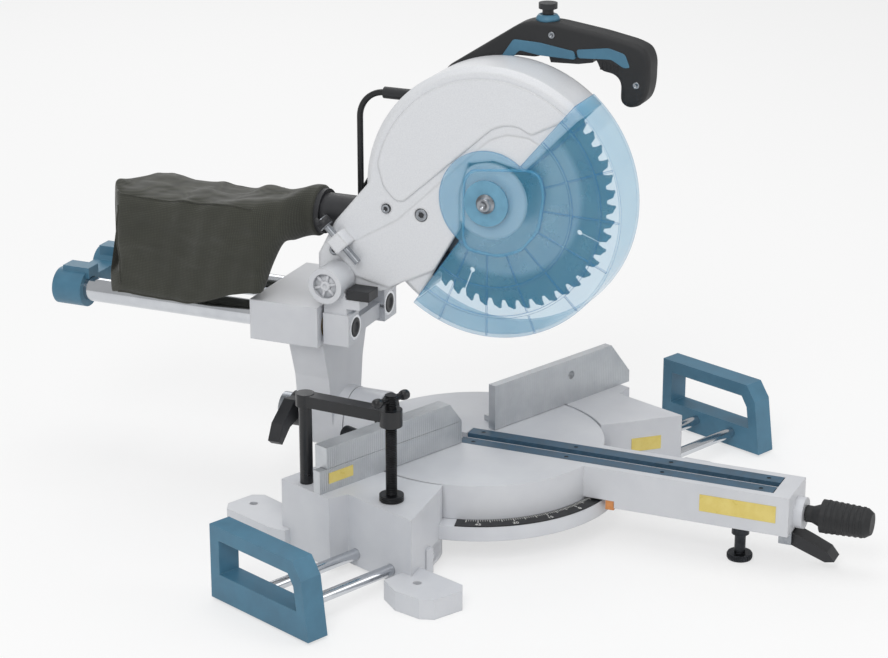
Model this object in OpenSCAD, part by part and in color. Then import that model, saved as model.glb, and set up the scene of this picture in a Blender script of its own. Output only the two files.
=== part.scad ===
// Sliding compound mitre saw, in millimetres, +Z up.
// Origin: turntable axis at bench level. +X is the operator's right, +Y the back.
// Everything above the turntable is drawn straight and then turned by mitre_angle.

/* [Blade] */
// Diameter of the saw blade over the tips
blade_d = 260; // [254:1:264]
// Bore of the blade
blade_bore = 30; // [29:0.5:31]
// Number of teeth
teeth = 48; // [40:2:60]
// Thickness of the blade plate
blade_t = 2.4; // [2:0.1:2.8]

/* [Table] */
// Height of the table above the bench
table_h = 85; // [83:0.5:88]
// Diameter of the turntable
drum_d = 280; // [276:1:282]
// Mitre angle of the photographed pose, to the right
mitre_angle = 22.5; // [15:0.5:30]
// Height of the fixed left fence
fence_h = 26; // [24:0.5:28]
// Height of the right fence
right_fence_h = 53; // [48:1:56]

/* [Slide] */
// Diameter of the slide poles
pole_d = 28; // [25:0.5:29]
// Distance between the pole axes
pole_gap = 90; // [88:0.5:92]
// Height of the pole axes above the table
pole_h = 126; // [125:0.25:127]

/* [Holders] */
// Diameter of the extension rods
rod_d = 12; // [10:0.5:13]
// Outer face of a holder, from the middle
holder_x = 365; // [358:1:375]
// Height of the rod axes
rod_z = 20; // [18:0.5:21]

/* [Vise] */
// Diameter of the vise post
post_d = 14; // [12:0.5:15]
// Height of the vise arm above the table
vise_h = 88; // [84:0.5:89]

/* [Cord] */
// Diameter of the mains cord
cord_d = 7; // [6.5:0.1:7.2]
// Radius of the cord coil
coil_r = 36; // [34:0.5:37]
// Number of loops
loops = 10; // [8:1:10]

/* [Hidden] */
$fn = 48;
eps = 0.02;
fit = 0.05;
// Blade axis and head pivot in the straight frame
blade_r = blade_d / 2;
by = -25;
bz = table_h + 285;
py = 152;
pz = table_h + 178;
case_r = blade_r + 15;
guard_in = case_r + 2;
guard_out = guard_in + 3;
hub_r = 22;
drum_r = drum_d / 2;
drum_gap = 3;
drum_z = 46.3;
ring_w = 20;
ring_r = drum_r + ring_w;
// Front face of the bevel trunnion, and how far it moves what it carries
trunnion_y = drum_r - 28;
rear = trunnion_y - 112;
// Motor axis: one gear pair above and behind the blade axis
gear_m = 1.5;
gear_n = 48;
pinion_n = 12;
gear_c = gear_m * (gear_n + pinion_n) / 2;
my = by + gear_c * cos(45);
mz = bz + gear_c * sin(45);
pole_z = table_h + pole_h;
pole_x = pole_gap / 2;
pole_r = pole_d / 2;
rod_r = rod_d / 2;
rod_y1 = -84;
rod_y2 = -30;
post_r = post_d / 2;
vise_x = -222;
vise_y = 36;
screw_x = -190;
screw_y = -62;
vise_reach = norm([screw_x - vise_x, screw_y - vise_y]);
vise_turn = atan2(screw_x - vise_x, vise_y - screw_y);
vise_z = table_h + vise_h;
// Grip centre line, from its foot over the top to the nose, above a height that rises with the case
gz = bz + case_r - 145;
hand = [[44, 86], [10, 112], [-14, 141], [-50, 163], [-95, 168], [-146, 149], [-171, 128], [-166, 106]];
// Cord: out of the sleeve, down behind the case, and onto the hook behind the motor
cord_r = cord_d / 2;
coil_pitch = cord_d + 0.8;
coil_x = 40;
drop_y = 160;
bend_r = 30;
sleeve_z = gz + 86;
coil_y = drop_y - coil_r;
coil_z = bz - 40;
coil_end = coil_x + coil_pitch * loops;
hook_z = coil_z + coil_r - cord_r - 4.2;
rings = 24 * loops;
echo(cord_gap = coil_pitch - cord_d);

// Placing helpers: round bars along each axis, boxes by limits, flat outlines
module at_mitre() rotate([0, 0, mitre_angle]) children();
module at_rear() at_mitre() translate([0, rear, 0]) children();
module along_x(x0, x1, y, z, r) translate([x0, y, z]) rotate([0, 90, 0]) cylinder(r = r, h = x1 - x0);
module along_y(y0, y1, x, z, r) translate([x, y0, z]) rotate([-90, 0, 0]) cylinder(r = r, h = y1 - y0);
module along_z(z0, z1, x, y, r) translate([x, y, z0]) cylinder(r = r, h = z1 - z0);
module box(x0, x1, y0, y1, z0, z1) translate([x0, y0, z0]) cube([x1 - x0, y1 - y0, z1 - z0]);
module side(x0, x1) translate([x0, 0, 0]) rotate([90, 0, 90]) linear_extrude(height = x1 - x0) children();
module facing(y0, y1) translate([0, y1, 0]) rotate([90, 0, 0]) linear_extrude(height = y1 - y0) children();
module flat(z0, z1) translate([0, 0, z0]) linear_extrude(height = z1 - z0) children();
module both() { children(); mirror([1, 0, 0]) children(); }

// A point at an angle seen from the left, where 0 is the front and 90 the top
function seen(a, r) = [by - r * cos(a), bz + r * sin(a)];
// A wedge outline about the blade axis between two such angles
module wedge(a0, a1, r) polygon(concat([[by, bz]], [for (i = [0:12]) seen(a0 + (a1 - a0) * i / 12, r)]));

// Outline of one side block, drawn in by g
module block_shape(g) polygon([
  [-235 + g, 62 - g], [-235 + g, -14 + g], [-212 + g, -18 + g], [-212 + g, -115 + 1.6 * g],
  [-134 - 0.3 * g, -77 + g], [-118, -66 + g], [-118, 62 - g]]);

module side_block() {
  difference() {
    flat(6, table_h) block_shape(0);
    along_z(0, table_h + 1, 0, 0, drum_r + drum_gap);
    difference() {
      flat(5, table_h - 8) block_shape(8);
      along_z(0, table_h, 0, 0, drum_r + drum_gap + 8);
    }
  }
  box(-174, -164, -98, -10, 6, rod_z + 14);
  along_z(table_h - 30, table_h - 4, vise_x, vise_y, post_r + 5.5);
}

module foot_shape() polygon([
  [-248, -128], [-244, -160], [-234, -172], [-198, -176], [-188, -166], [-190, -101], [-238, -101]]);
module ear_shape() polygon([
  [-248, 70], [-242, 50], [-198, 50], [-194, 140], [-204, 150], [-238, 150], [-248, 140]]);

module base_casting() color("#D4D6DA") difference() {
  union() {
    both() side_block();
    both() flat(0, 22) foot_shape();
    both() flat(0, 30) ear_shape();
    difference() {
      along_z(30, drum_z - 0.3, 0, 0, ring_r);
      along_z(29, drum_z, 0, 0, 122);
    }
    along_z(24, drum_z - 0.3, 0, 0, 34);
    for (a = [45, 135, 225, 315]) rotate([0, 0, a]) box(30, 126, -10, 10, 30, 44);
  }
  along_z(20, 50, 0, 0, 10 + fit);
  both() along_x(-240, -162, rod_y1, rod_z, rod_r + fit);
  both() along_x(-240, -162, rod_y2, rod_z, rod_r + fit);
  both() along_x(-163.6, -90, rod_y1, rod_z, rod_r + 3.6);
  both() along_x(-163.6, -90, rod_y2, rod_z, rod_r + 3.6);
  both() along_z(table_h - 31, table_h + 1, vise_x, vise_y, post_r + fit);
  both() along_z(-1, 31, -218, -130, 4.5);
  both() along_z(-1, 31, -218, 130, 4.5);
}

module mitre_scale() color("#17181A") difference() {
  along_z(drum_z - 0.3, drum_z + 0.9, 0, 0, ring_r - 1);
  along_z(drum_z - 1, drum_z + 2, 0, 0, drum_r + 2);
  flat(drum_z - 1, drum_z + 2) polygon([[0, 0], [-200, -145], [-200, 200], [200, 200], [200, -145]]);
}

// The fences stand on the blocks and clear the turning table
module drum_relief() along_z(table_h - 1, table_h + 0.5, 0, 0, drum_r + drum_gap + 1);

module lower_fence() color("#C9CCCE") difference() {
  union() {
    box(-235, -26, 0, 10, table_h, table_h + fence_h);
    box(-204, -40, 10, 31, table_h, table_h + 7);
  }
  for (x = [-196, -160]) along_z(table_h - 1, table_h + 9, x, 25, 4.2);
  drum_relief();
}

module right_fence() color("#C9CCCE") difference() {
  union() {
    facing(0, 10) polygon([[26, table_h], [250, table_h], [250, table_h + 14],
      [218, table_h + right_fence_h], [26, table_h + right_fence_h]]);
    box(40, 204, 10, 31, table_h, table_h + 7);
  }
  for (x = [160, 196]) along_z(table_h - 1, table_h + 9, x, 25, 4.2);
  drum_relief();
  along_y(-1, 11, 150, table_h + 34, 5);
}

// Screws of the fences, and the clamp screw behind the sliding fence
module fence_screws() color("#3A3C40") {
  for (x = [-196, -160, 160, 196]) {
    along_z(table_h, table_h + 7, x, 25, 4);
    along_z(table_h + 7, table_h + 13, x, 25, 5.6);
  }
  box(-150, -130, 19, 27, table_h + 7, table_h + 32);
  along_y(18.4, 60, -140, table_h + 25, 4);
  along_y(46, 64, -140, table_h + 25, 9);
}

module upper_fence() color("#C9CCCE") {
  facing(0, 10) polygon([[-225, table_h + fence_h + 0.4], [-26, table_h + fence_h + 0.4],
    [-44, table_h + 50], [-225, table_h + 50]]);
  box(-225, -44, 10, 12, table_h + fence_h + 0.4, table_h + 50);
  box(-225, -44, 10.4, 18, table_h + 9, table_h + 50);
}

// Blank plates on the left fence and on the right block's slanted front
module label_plates() color("#E8D57A") {
  box(-222, -188, -0.5, 0, table_h + 9, table_h + 21);
  translate([173, -96, 56]) rotate([0, 0, atan2(-38, 78)]) box(-18, 18, -0.5, 0, -8, 8);
}

module pivot_bolt() color("#8E9196") {
  along_z(24, 52, 0, 0, 10);
  along_z(14, 24, 0, 0, 17);
}

// Turntable with the kerf arm in front and the bevel trunnion behind
module turntable() color("#D4D6DA") at_mitre() difference() {
  union() {
    along_z(60, table_h, 0, 0, drum_r);
    difference() {
      along_z(drum_z, 62, 0, 0, drum_r);
      along_z(drum_z - 1, 63, 0, 0, drum_r - 12);
    }
    along_z(drum_z, 62, 0, 0, 30);
    difference() {
      union() {
        box(-32, 32, -300, -120, 49, table_h);
        box(-32, 32, -366, -ring_r - 12, 41, table_h);
        along_y(-376, -366, 0, 58, 17);
      }
      box(-26, 26, -356, -ring_r - 18, 40, table_h - 13);
    }
    along_z(46, table_h - 12, -16, -310, 10);
    box(-36, 36, trunnion_y, trunnion_y + 38, 50, table_h);
    along_y(trunnion_y, trunnion_y + 38, 0, table_h, 35);
  }
  box(-23, 23, -346, 16, table_h - 5, table_h + 1);
  box(-6, 6, -346, 70, table_h - 13.5, table_h + 1);
  along_z(drum_z - 1, 54, 0, 0, 10 + fit);
  along_y(trunnion_y + 6, trunnion_y + 39, 0, table_h, 12 + fit);
  along_y(-380, -350, 0, 58, 5 + fit);
  along_z(40, table_h - 13, -16, -310, 6 + fit);
}

module kerf_boards() color("#41617A") at_mitre() both() difference() {
  box(6.5, 22.6, -345, 15.5, table_h - 5, table_h);
  for (y = [-330, -220, -110, 0]) along_z(table_h - 6, table_h + 1, 15, y, 2.6);
}

module kerf_screws() color("#2B2C2F") at_mitre() both()
  for (y = [-330, -220, -110, 0]) along_z(table_h - 5, table_h - 0.6, 15, y, 2.5);

module mitre_pointer() color("#D9955A") at_mitre() box(-31, -21, -ring_r - 11.5, -ring_r - 2, 38, 49);

module arm_label() color("#E8D57A") at_mitre() box(-32.5, -32, -352, -268, 55, 74);

// Grip with the rod that it presses against the base
module mitre_grip() color("#242528") at_mitre() {
  along_y(-384, -377, 0, 58, 9);
  translate([0, -394, 58]) rotate([-90, 0, 0]) cylinder(r1 = 13, r2 = 9, h = 10);
  translate([0, -442, 58]) rotate([-90, 0, 0]) cylinder(r1 = 16, r2 = 18, h = 48);
  translate([0, -448, 58]) rotate([-90, 0, 0]) cylinder(r1 = 12, r2 = 16, h = 6);
  along_y(-377, -186, 0, 58, 5);
}

// Thumb lever that frees the positive stops, on a pin under the arm's nose
module lock_lever() color("#2B2C2F") at_mitre() difference() {
  union() {
    side(-11, 11) polygon([
      [-353, 38], [-353, 28], [-380, 18], [-402, 10], [-412, 12], [-404, 22], [-384, 31], [-366, 38]]);
    along_x(-11, 11, -359, 33, 6);
  }
  along_x(-12, 12, -359, 33, 3 + fit);
}

module lever_hanger() color("#A5A8AC") at_mitre() {
  box(-17, -11.4, -366, -352, 26, 41);
  box(11.4, 17, -366, -352, 26, 41);
  along_x(-17, 17, -359, 33, 3);
}

// Levelling bolt with its knurled disc and lock nut under the arm
module level_bolt() color("#3A3C40") at_mitre() {
  along_z(3, table_h - 19, -16, -310, 6);
  along_z(1, 8, -16, -310, 13);
  along_z(30, 38, -16, -310, 9.5);
}

module bevel_scale() color("#17181A") at_rear() difference() {
  along_y(111, 112, 0, table_h, 34);
  along_y(110, 113, 0, table_h, 24);
  facing(110, 113) polygon([
    [-60, table_h + 4], [60, table_h + 4], [60, table_h - 60], [-60, table_h - 60]]);
}

module bevel_arm() color("#D4D6DA") at_rear() difference() {
  union() {
    along_y(150.6, 204, 0, table_h, 36);
    facing(162, 204) polygon([[-36, table_h], [36, table_h], [44, table_h + 60], [62, pole_z - 12],
      [-62, pole_z - 12], [-44, table_h + 60]]);
    box(-pole_x - pole_r - 12, pole_x + pole_r + 12, 162, 245, pole_z - pole_r - 7, pole_z + pole_r + 11);
  }
  both() along_y(161, 246, pole_x, pole_z, pole_r + 3);
  along_y(150, 205, 0, table_h, 12 - eps);
  along_y(194, 205, 24, table_h - 16, 4 + fit);
  box(-pole_x + pole_r + 8, pole_x - pole_r - 8, 208, 246, pole_z - 30, pole_z + 20);
}

module slide_bushings() color("#7A6A48") at_rear() both() for (y = [163, 224]) difference() {
  along_y(y, y + 20, pole_x, pole_z, pole_r + 3);
  along_y(y - 1, y + 21, pole_x, pole_z, pole_r + fit);
}

// Bevel shaft with its nut behind the lever
module bevel_shaft() color("#9A9DA2") at_rear() {
  along_y(119, 236, 0, table_h, 12 - eps);
  along_y(229, 241, 0, table_h, 17);
}

module bevel_lever() color("#242528") at_rear() {
  difference() {
    union() {
      along_y(208, 228, 0, table_h, 20);
      facing(212, 226) polygon([
        [-8, table_h + 18], [-30, table_h + 22], [-62, table_h + 4], [-72, table_h - 14],
        [-64, table_h - 20], [-44, table_h - 6], [-18, table_h - 2]]);
    }
    along_y(207, 229, 0, table_h, 12 + 0.04);
  }
}

// Spring pin for the 0 and 45 degree stops, on the right of the bevel arm
module bevel_pin() color("#8E9196") at_rear() {
  along_y(195, 222, 24, table_h - 16, 4);
  along_y(214, 226, 24, table_h - 16, 6.5);
}

// Slide poles, their front bracket with the head's pivot, and the rear cap
module slide_poles() color("#B9BCC0") at_rear() both() difference() {
  along_y(128, 478, pole_x, pole_z, pole_r);
  along_y(127, 479, pole_x, pole_z, pole_r - 3);
}

module bracket_arm() polygon([
  [130, pole_z], [159, pole_z], [159, pz - 22], [170, pz], [152, pz + 12], [134, pz]]);

module pole_bracket() color("#D4D6DA") at_rear() difference() {
  union() {
    box(-pole_x - pole_r - 4, -37, 128, 159, pole_z - pole_r - 4, pole_z + pole_r + 4);
    box(31, pole_x + pole_r + 4, 128, 159, pole_z - pole_r - 4, pole_z + pole_r + 4);
    box(-40, 40, 134, 159, pole_z - pole_r, pole_z + 4);
    side(-60, -37) bracket_arm();
    side(31, 56) bracket_arm();
    box(-60, -38, 116, 136, 236, 247);
    along_x(-72, -37, py, pz, 20);
    along_x(31, 58, py, pz, 20);
  }
  both() along_y(127, 160, pole_x, pole_z, pole_r);
  along_x(-80, 70, py, pz, 9);
  along_x(-80, -66, py, pz, 14);
  along_z(235, 248, -56, 122, 3);
}

module pivot_shaft() color("#9A9DA2") at_rear() {
  along_x(-66, 58, py, pz, 9);
  along_x(58, 66, py, pz, 14);
}

module rear_cap() color("#4F7F96") at_rear() difference() {
  union() {
    box(-pole_x, pole_x, 470, 500, pole_z - pole_r - 6, pole_z + pole_r - 4);
    both() along_y(466, 503, pole_x, pole_z, pole_r + 7);
    both() box(30, pole_x + 6, 462, 496, pole_z, pole_z + pole_r + 12);
  }
  both() along_y(460, 478, pole_x, pole_z, pole_r);
  both() along_y(460, 466, pole_x, pole_z, pole_r + 0.5);
}

// Head: blade case with its tail to the pivot
module tail_shape() polygon([
  [by + 100, bz + 56], [by + 143, bz + 2], [py + 4, pz + 64], [py + 25, pz + 24], [py + 25, pz - 12],
  [py + 8, pz - 20], [py - 24, pz - 17], [py - 60, pz - 7], [by + 60, bz - 76]]);

module upper_side() polygon([
  seen(45, 400), seen(45, case_r), [by - 40, bz + 38], [by - 6, bz + 46], [by + 24, bz + 40],
  [by + 34, bz + 6], [by + 34, bz - 34], seen(235, case_r), seen(235, 400), [by + 400, bz + 400]]);

module raised_arm() polygon([
  [py + 4, pz + 30], [by + 106, bz - 33], [by + 10, bz + 58], [by - 2, bz + 68], [by - 20, bz + 75],
  [by - 44, bz + 74], [by - 60, bz + 66], [by - 70, bz + 58], [by - 56, bz + 40], [by + 2, bz - 6],
  [by + 40, bz - 62], [by + 66, bz - 86], [py - 60, pz - 4], [py - 20, pz + 4]]);

module case_disc() intersection() {
  union() {
    along_x(-28, 26, by, bz, case_r);
    translate([-34, by, bz]) rotate([0, 90, 0]) cylinder(r1 = case_r - 6, r2 = case_r, h = 6);
  }
  side(-35, 27) upper_side();
}

module blade_case() color("#E3E5E8") at_rear() difference() {
  union() {
    case_disc();
    side(-34, 26) tail_shape();
    along_x(-34, -30, by, bz, 42);
    side(-36.2, -33) intersection() {
      raised_arm();
      upper_side();
    }
    along_x(-41, -34, by, bz, hub_r);
    along_x(20, 26, by, bz, 60);
    translate([-44, 146, 307]) rotate([135, 0, 0]) box(-8, 11, -9, 9, -9, 9);
  }
  along_x(-30, 20, by, bz, case_r - 8);
  along_x(19, 27, by, bz, 41);
  along_x(-42, -29, by, bz, 11);
  along_x(-38, -33, by + 78, bz - 24, 7.5);
  along_x(-38, -33, by + 120, bz - 22, 5.5);
  along_x(-38, -33, py + 6, pz + 30, 5.5);
  translate([-44, 146, 307]) rotate([135, 0, 0]) along_z(-12, 12, 0, 0, 4 + fit);
  along_x(-40, 30, py, pz, 9 + fit);
  along_y(by + 100, py + 40, -8, bz - 42, 21);
}

module center_plate() color("#D7D9DC") at_rear() {
  along_x(-44, -41.2, by, bz, 25);
  along_x(-41.2, -31, by, bz, 11);
  along_x(-49, -44, by, bz, 7);
}

// Screws in the case's seats
module case_trim() color("#3A3C40") at_rear() {
  along_x(-36, -33, by + 78, bz - 24, 7);
  along_x(-36, -33, by + 120, bz - 22, 5);
  along_x(-36, -33, py + 6, pz + 30, 5);
}

// Plate about the guard's hub
module hub_shape() polygon([
  [by + 26, bz + 24], [by + 18, bz + 34], [by - 52, bz + 40], [by - 62, bz + 34], [by - 66, bz + 16],
  [by - 60, bz - 24], [by - 40, bz - 48], [by - 14, bz - 58], [by + 22, bz - 54], [by + 27, bz - 44]]);

module lower_guard() color("#7FC4E0") at_rear() difference() {
  union() {
    intersection() {
      union() {
        difference() {
          along_x(-39, 18, by, bz, guard_out);
          along_x(-36.6, 19, by, bz, guard_in);
        }
        for (r = [58, 96, 128]) difference() {
          along_x(-40.6, -38.5, by, bz, r);
          along_x(-42, -38, by, bz, r - 2.5);
        }
        for (a = [-112:22:44]) side(-40.6, -38.5)
          polygon([seen(a - 1, 34), seen(a + 1, 34), seen(a + 0.3, 148), seen(a - 0.3, 148)]);
      }
      side(-60, 60) wedge(-125, 50, 400);
    }
    along_x(-39, -36.6, by, bz, 56);
    side(-40.8, -38.8) hub_shape();
  }
  along_x(-60, -30, by, bz, hub_r + 0.06);
}

// Saw blade: tooth outline from the tooth count, slots with round ends
function tooth(i) = let (a = 360 * i / teeth, s = 360 / teeth) [
  [blade_r * cos(a), blade_r * sin(a)],
  [(blade_r - 3) * cos(a + 0.42 * s), (blade_r - 3) * sin(a + 0.42 * s)],
  [(blade_r - 10) * cos(a + 0.62 * s), (blade_r - 10) * sin(a + 0.62 * s)],
  [(blade_r - 10) * cos(a + 0.86 * s), (blade_r - 10) * sin(a + 0.86 * s)]];

module blade() color("#B4B9BE") at_rear() difference() {
  translate([-blade_t / 2, by, bz]) rotate([90, 0, 90]) linear_extrude(height = blade_t)
    polygon([for (i = [0:teeth - 1]) each tooth(i)]);
  along_x(-5, 5, by, bz, blade_bore / 2 + fit);
  for (a = [20, 110, 200, 290]) translate([0, by, bz]) rotate([a, 0, 0]) {
    box(-5, 5, -0.8, 0.8, blade_r - 34, blade_r + 5);
    along_x(-5, 5, 0, blade_r - 34, 3);
  }
}

module flanges() color("#8E9196") at_rear() {
  difference() {
    along_x(blade_t / 2, 8, by, bz, 28);
    along_x(0, 9, by, bz, 12);
  }
  difference() {
    along_x(-8, -blade_t / 2, by, bz, 28);
    along_x(-9, 0, by, bz, 6);
  }
}

module arbor_bolt() color("#C9CCCE") at_rear() {
  along_x(-10, -8, by, bz, 11);
  translate([-17, by, bz]) rotate([0, 90, 0]) cylinder(r = 9, h = 7, $fn = 6);
  along_x(-8, 4, by, bz, 6);
}

// Involute-like gear outline from tooth count and module
function gear_ring(n, r, shrink) = [for (i = [0:n - 1]) let (a = 360 * i / n, p = 360 / n) each [
  [(r - 1.8) * cos(a - 0.29 * p), (r - 1.8) * sin(a - 0.29 * p)],
  [r * cos(a - (0.235 - shrink) * p), r * sin(a - (0.235 - shrink) * p)],
  [(r + 1.2) * cos(a - (0.13 - shrink) * p), (r + 1.2) * sin(a - (0.13 - shrink) * p)],
  [(r + 1.2) * cos(a + (0.13 - shrink) * p), (r + 1.2) * sin(a + (0.13 - shrink) * p)],
  [r * cos(a + (0.235 - shrink) * p), r * sin(a + (0.235 - shrink) * p)],
  [(r - 1.8) * cos(a + 0.29 * p), (r - 1.8) * sin(a + 0.29 * p)]]];

module spindle() color("#9A9DA2") at_rear() difference() {
  union() {
    along_x(-blade_t / 2, blade_t / 2, by, bz, blade_bore / 2);
    along_x(0, 55, by, bz, 12);
    translate([36, by, bz]) rotate([90, 0, 90]) linear_extrude(height = 10)
      rotate(45) polygon(gear_ring(gear_n, gear_m * gear_n / 2, 0.02));
  }
  along_x(-9, 4, by, bz, 6);
}

// Hook for the wound cord: an arm behind the motor and a peg with an upturned end
module cord_hook() {
  side(28, 34) polygon([
    [my + 20, mz - 20], [coil_y - 8, hook_z - 6], [coil_y + 8, hook_z - 6], [my + 44, mz - 4]]);
  along_x(28, coil_end + 12, coil_y, hook_z, 4);
  along_x(coil_end + 8, coil_end + 12, coil_y, hook_z, 9);
}

module gear_housing() color("#D4D6DA") at_rear() difference() {
  union() {
    along_x(26, 58, by, bz, 52);
    along_x(26, 66, my, mz, 50);
    box(28, 56, by - 20, my + 30, mz, gz + 84);
    cord_hook();
  }
  along_x(25, 51, by, bz, 41);
  along_x(32, 51, my, mz, 14);
  along_x(50, 56, by, bz, 16);
  along_x(50, 70, my, mz, 11);
}

module motor_housing() color("#242528") at_rear() difference() {
  union() {
    along_x(66, 176, my, mz, 50);
    box(90, 150, my - 20, my + 20, mz + 44, mz + 56);
  }
  along_x(72, 177, my, mz, 45);
  along_x(65, 73, my, mz, 11);
  along_z(mz - 60, mz + 60, 156, my, 6);
  for (z = [-24, -12, 0, 12, 24]) box(164, 170, my - 60, my + 60, mz + z - 2, mz + z + 2);
}

// Rear cover with the two brush caps
module motor_cap() color("#242528") at_rear() {
  difference() {
    along_x(176, 192, my, mz, 50);
    along_x(175, 184, my, mz, 45);
    along_x(175, 188, my, mz, 8);
  }
  along_z(mz + 14.5, mz + 52, 156, my, 6);
  along_z(mz - 52, mz - 14.5, 156, my, 6);
}

module stator() color("#5B3A22") at_rear() difference() {
  along_x(84, 140, my, mz, 45);
  along_x(83, 141, my, mz, 31);
}

// Spindle bearing, then the two of the armature
module bearings() color("#B9BCC0") at_rear() {
  difference() {
    along_x(51, 56, by, bz, 16);
    along_x(50, 57, by, bz, 12 + fit);
  }
  difference() {
    along_x(66.5, 71.5, my, mz, 11);
    along_x(66, 72, my, mz, 6 + fit);
  }
  difference() {
    along_x(182, 187, my, mz, 8);
    along_x(181, 188, my, mz, 5 + fit);
  }
}

module armature() color("#A0643C") at_rear() {
  along_x(34, 78, my, mz, 6);
  along_x(78, 188, my, mz, 5);
  translate([36, my, mz]) rotate([90, 0, 90]) linear_extrude(height = 10)
    rotate(45 + 180 / pinion_n) polygon(gear_ring(pinion_n, gear_m * pinion_n / 2, 0.02));
  along_x(86, 138, my, mz, 29);
  along_x(74, 80, my, mz, 38);
  along_x(147, 165, my, mz, 14);
}

// Grip: from the foot on the gear housing over the top to the nose
module handle() color("#242528") at_rear() {
  difference() {
    union() {
      for (i = [0:6]) hull() for (k = [i, i + 1]) translate([41, hand[k][0], gz + hand[k][1]])
        rotate([0, 90, 0]) cylinder(r = 17, h = 30, center = true, $fn = 32);
      side(28, 54) polygon([
        [-30, gz + 84], [34, gz + 84], [34, gz + 104], [8, gz + 136], [-30, gz + 140]]);
    }
    box(32, 50, -118, -58, gz + 120, gz + 160);
    along_z(gz + 166, gz + 190, 41, -60, 6 + fit);
    box(20, 60, by - 20, my + 30, mz, gz + 84);
    along_x(20, 60, my, mz, 50);
    along_y(50, 70, coil_x, sleeve_z, 8);
  }
  along_x(32, 50, -108, gz + 152, 2);
}

module handle_insert() color("#4F7F96") at_rear() {
  side(24, 26) polygon([
    [-66, gz + 150], [-36, gz + 150], [-24, gz + 160], [-40, gz + 174], [-66, gz + 176]]);
  side(24, 26) polygon([
    [-124, gz + 146], [-146, gz + 134], [-166, gz + 116], [-176, gz + 120],
    [-152, gz + 146], [-132, gz + 156]]);
}

module trigger() color("#4F7F96") at_rear() difference() {
  side(33, 49) polygon([
    [-63, gz + 152], [-67, gz + 140], [-98, gz + 141], [-114, gz + 144],
    [-114, gz + 156], [-100, gz + 156], [-90, gz + 152]]);
  along_x(32, 50, -108, gz + 152, 2 + fit);
}

module lock_off_button() color("#2B2C2F") at_rear() {
  along_z(gz + 172, gz + 196, 41, -60, 6);
  along_z(gz + 196, gz + 202, 41, -60, 10);
}

// Dust outlet, collar and bag
module dust_nozzle() color("#2B2C2F") at_rear() difference() {
  along_y(by + 138, py + 36, -8, bz - 42, 21);
  along_y(by + 137, py + 37, -8, bz - 42, 17);
}

module bag_collar() color("#242528") at_rear() difference() {
  along_y(py + 26, py + 44, -8, bz - 42, 25);
  along_y(py + 25, py + 45, -8, bz - 42, 21);
}

module dust_bag() color("#45463C") at_rear() difference() {
  hull() {
    along_y(py + 30, py + 36, -8, bz - 42, 29);
    box(-86, 22, 250, 420, pole_z + 30, bz - 26);
    box(-42, -36, 430, 438, pole_z + 30, bz - 30);
  }
  along_y(py + 26, py + 46, -8, bz - 42, 25);
}

// Mains cord: sleeve at the handle's foot, bend, drop, coil on the hook, plug
module cord_guard() color("#17181A") at_rear() difference() {
  union() {
    along_y(50, 72, coil_x, sleeve_z, 8);
    along_y(72, drop_y - bend_r, coil_x, sleeve_z, 6.5);
  }
  along_y(66, drop_y, coil_x, sleeve_z, cord_r);
}

module cord() color("#17181A") at_rear() {
  along_y(66, drop_y - bend_r, coil_x, sleeve_z, cord_r);
  translate([coil_x, drop_y - bend_r, sleeve_z - bend_r]) rotate([90, 0, 90])
    rotate_extrude(angle = 90) translate([bend_r, 0]) circle(r = cord_r, $fn = 24);
  along_z(coil_z, sleeve_z - bend_r, coil_x, drop_y, cord_r);
}

// One ring of the tube at path parameter t, counted in loops
function coil_point(t, k) = let (a = -360 * t, b = 60 * k) [
  coil_x + coil_pitch * t + cord_r * sin(b),
  coil_y + (coil_r + cord_r * cos(b)) * cos(a),
  coil_z + (coil_r + cord_r * cos(b)) * sin(a)];
module cord_coil() color("#17181A") at_rear() polyhedron(
  points = [for (i = [0:rings]) for (k = [0:5]) coil_point(i / 24, k)],
  faces = concat(
    [[0, 1, 2, 3, 4, 5]], [[for (k = [5:-1:0]) rings * 6 + k]],
    [for (i = [0:rings - 1]) for (k = [0:5])
      [i * 6 + k, (i + 1) * 6 + k, (i + 1) * 6 + (k + 1) % 6, i * 6 + (k + 1) % 6]]));

module plug() color("#17181A") at_rear() {
  along_z(coil_z - 44, coil_z, coil_end, drop_y, cord_r);
  along_z(coil_z - 60, coil_z - 44, coil_end, drop_y, 9);
  along_z(coil_z - 88, coil_z - 60, coil_end, drop_y, 18);
  for (s = [-9.5, 9.5]) along_z(coil_z - 107, coil_z - 88, coil_end + s, drop_y, 2.4);
}

// Depth stop screw in the case's lug, and the swing arm that it meets when the head is down
module depth_screw() color("#8E9196") at_rear() translate([-44, 146, 307]) rotate([135, 0, 0]) {
  along_z(-22, 30, 0, 0, 4);
  along_z(-32, -22, 0, 0, 8);
}

module stopper_arm() color("#2B2C2F") at_rear() {
  box(-61, -38, 104, 131, 247.4, 258.6);
  along_z(237, 248, -56, 122, 3 - fit);
}

// Extension holders: a bar frame on two rods with stop caps
module work_holder() difference() {
  side(-holder_x, -holder_x + 26) polygon([
    [-127, 3], [24, 3], [24, table_h], [-105, table_h], [-118, table_h - 18]]);
  side(-holder_x - 1, -holder_x + 27) polygon([
    [-110, 32], [10, 32], [10, table_h - 15], [-98, table_h - 15], [-106, table_h - 27]]);
  for (y = [rod_y1, rod_y2]) along_x(-holder_x + 6, -holder_x + 30, y, rod_z, rod_r);
}

module rods() for (y = [rod_y1, rod_y2]) {
  along_x(-holder_x + 6, -163, y, rod_z, rod_r);
  along_x(-163, -157, y, rod_z, rod_r + 2);
}

module left_holder() color("#5F8CA3") work_holder();
module right_holder() color("#5F8CA3") mirror([1, 0, 0]) work_holder();
module left_rods() color("#B9BCC0") rods();
module right_rods() color("#B9BCC0") mirror([1, 0, 0]) rods();

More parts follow.
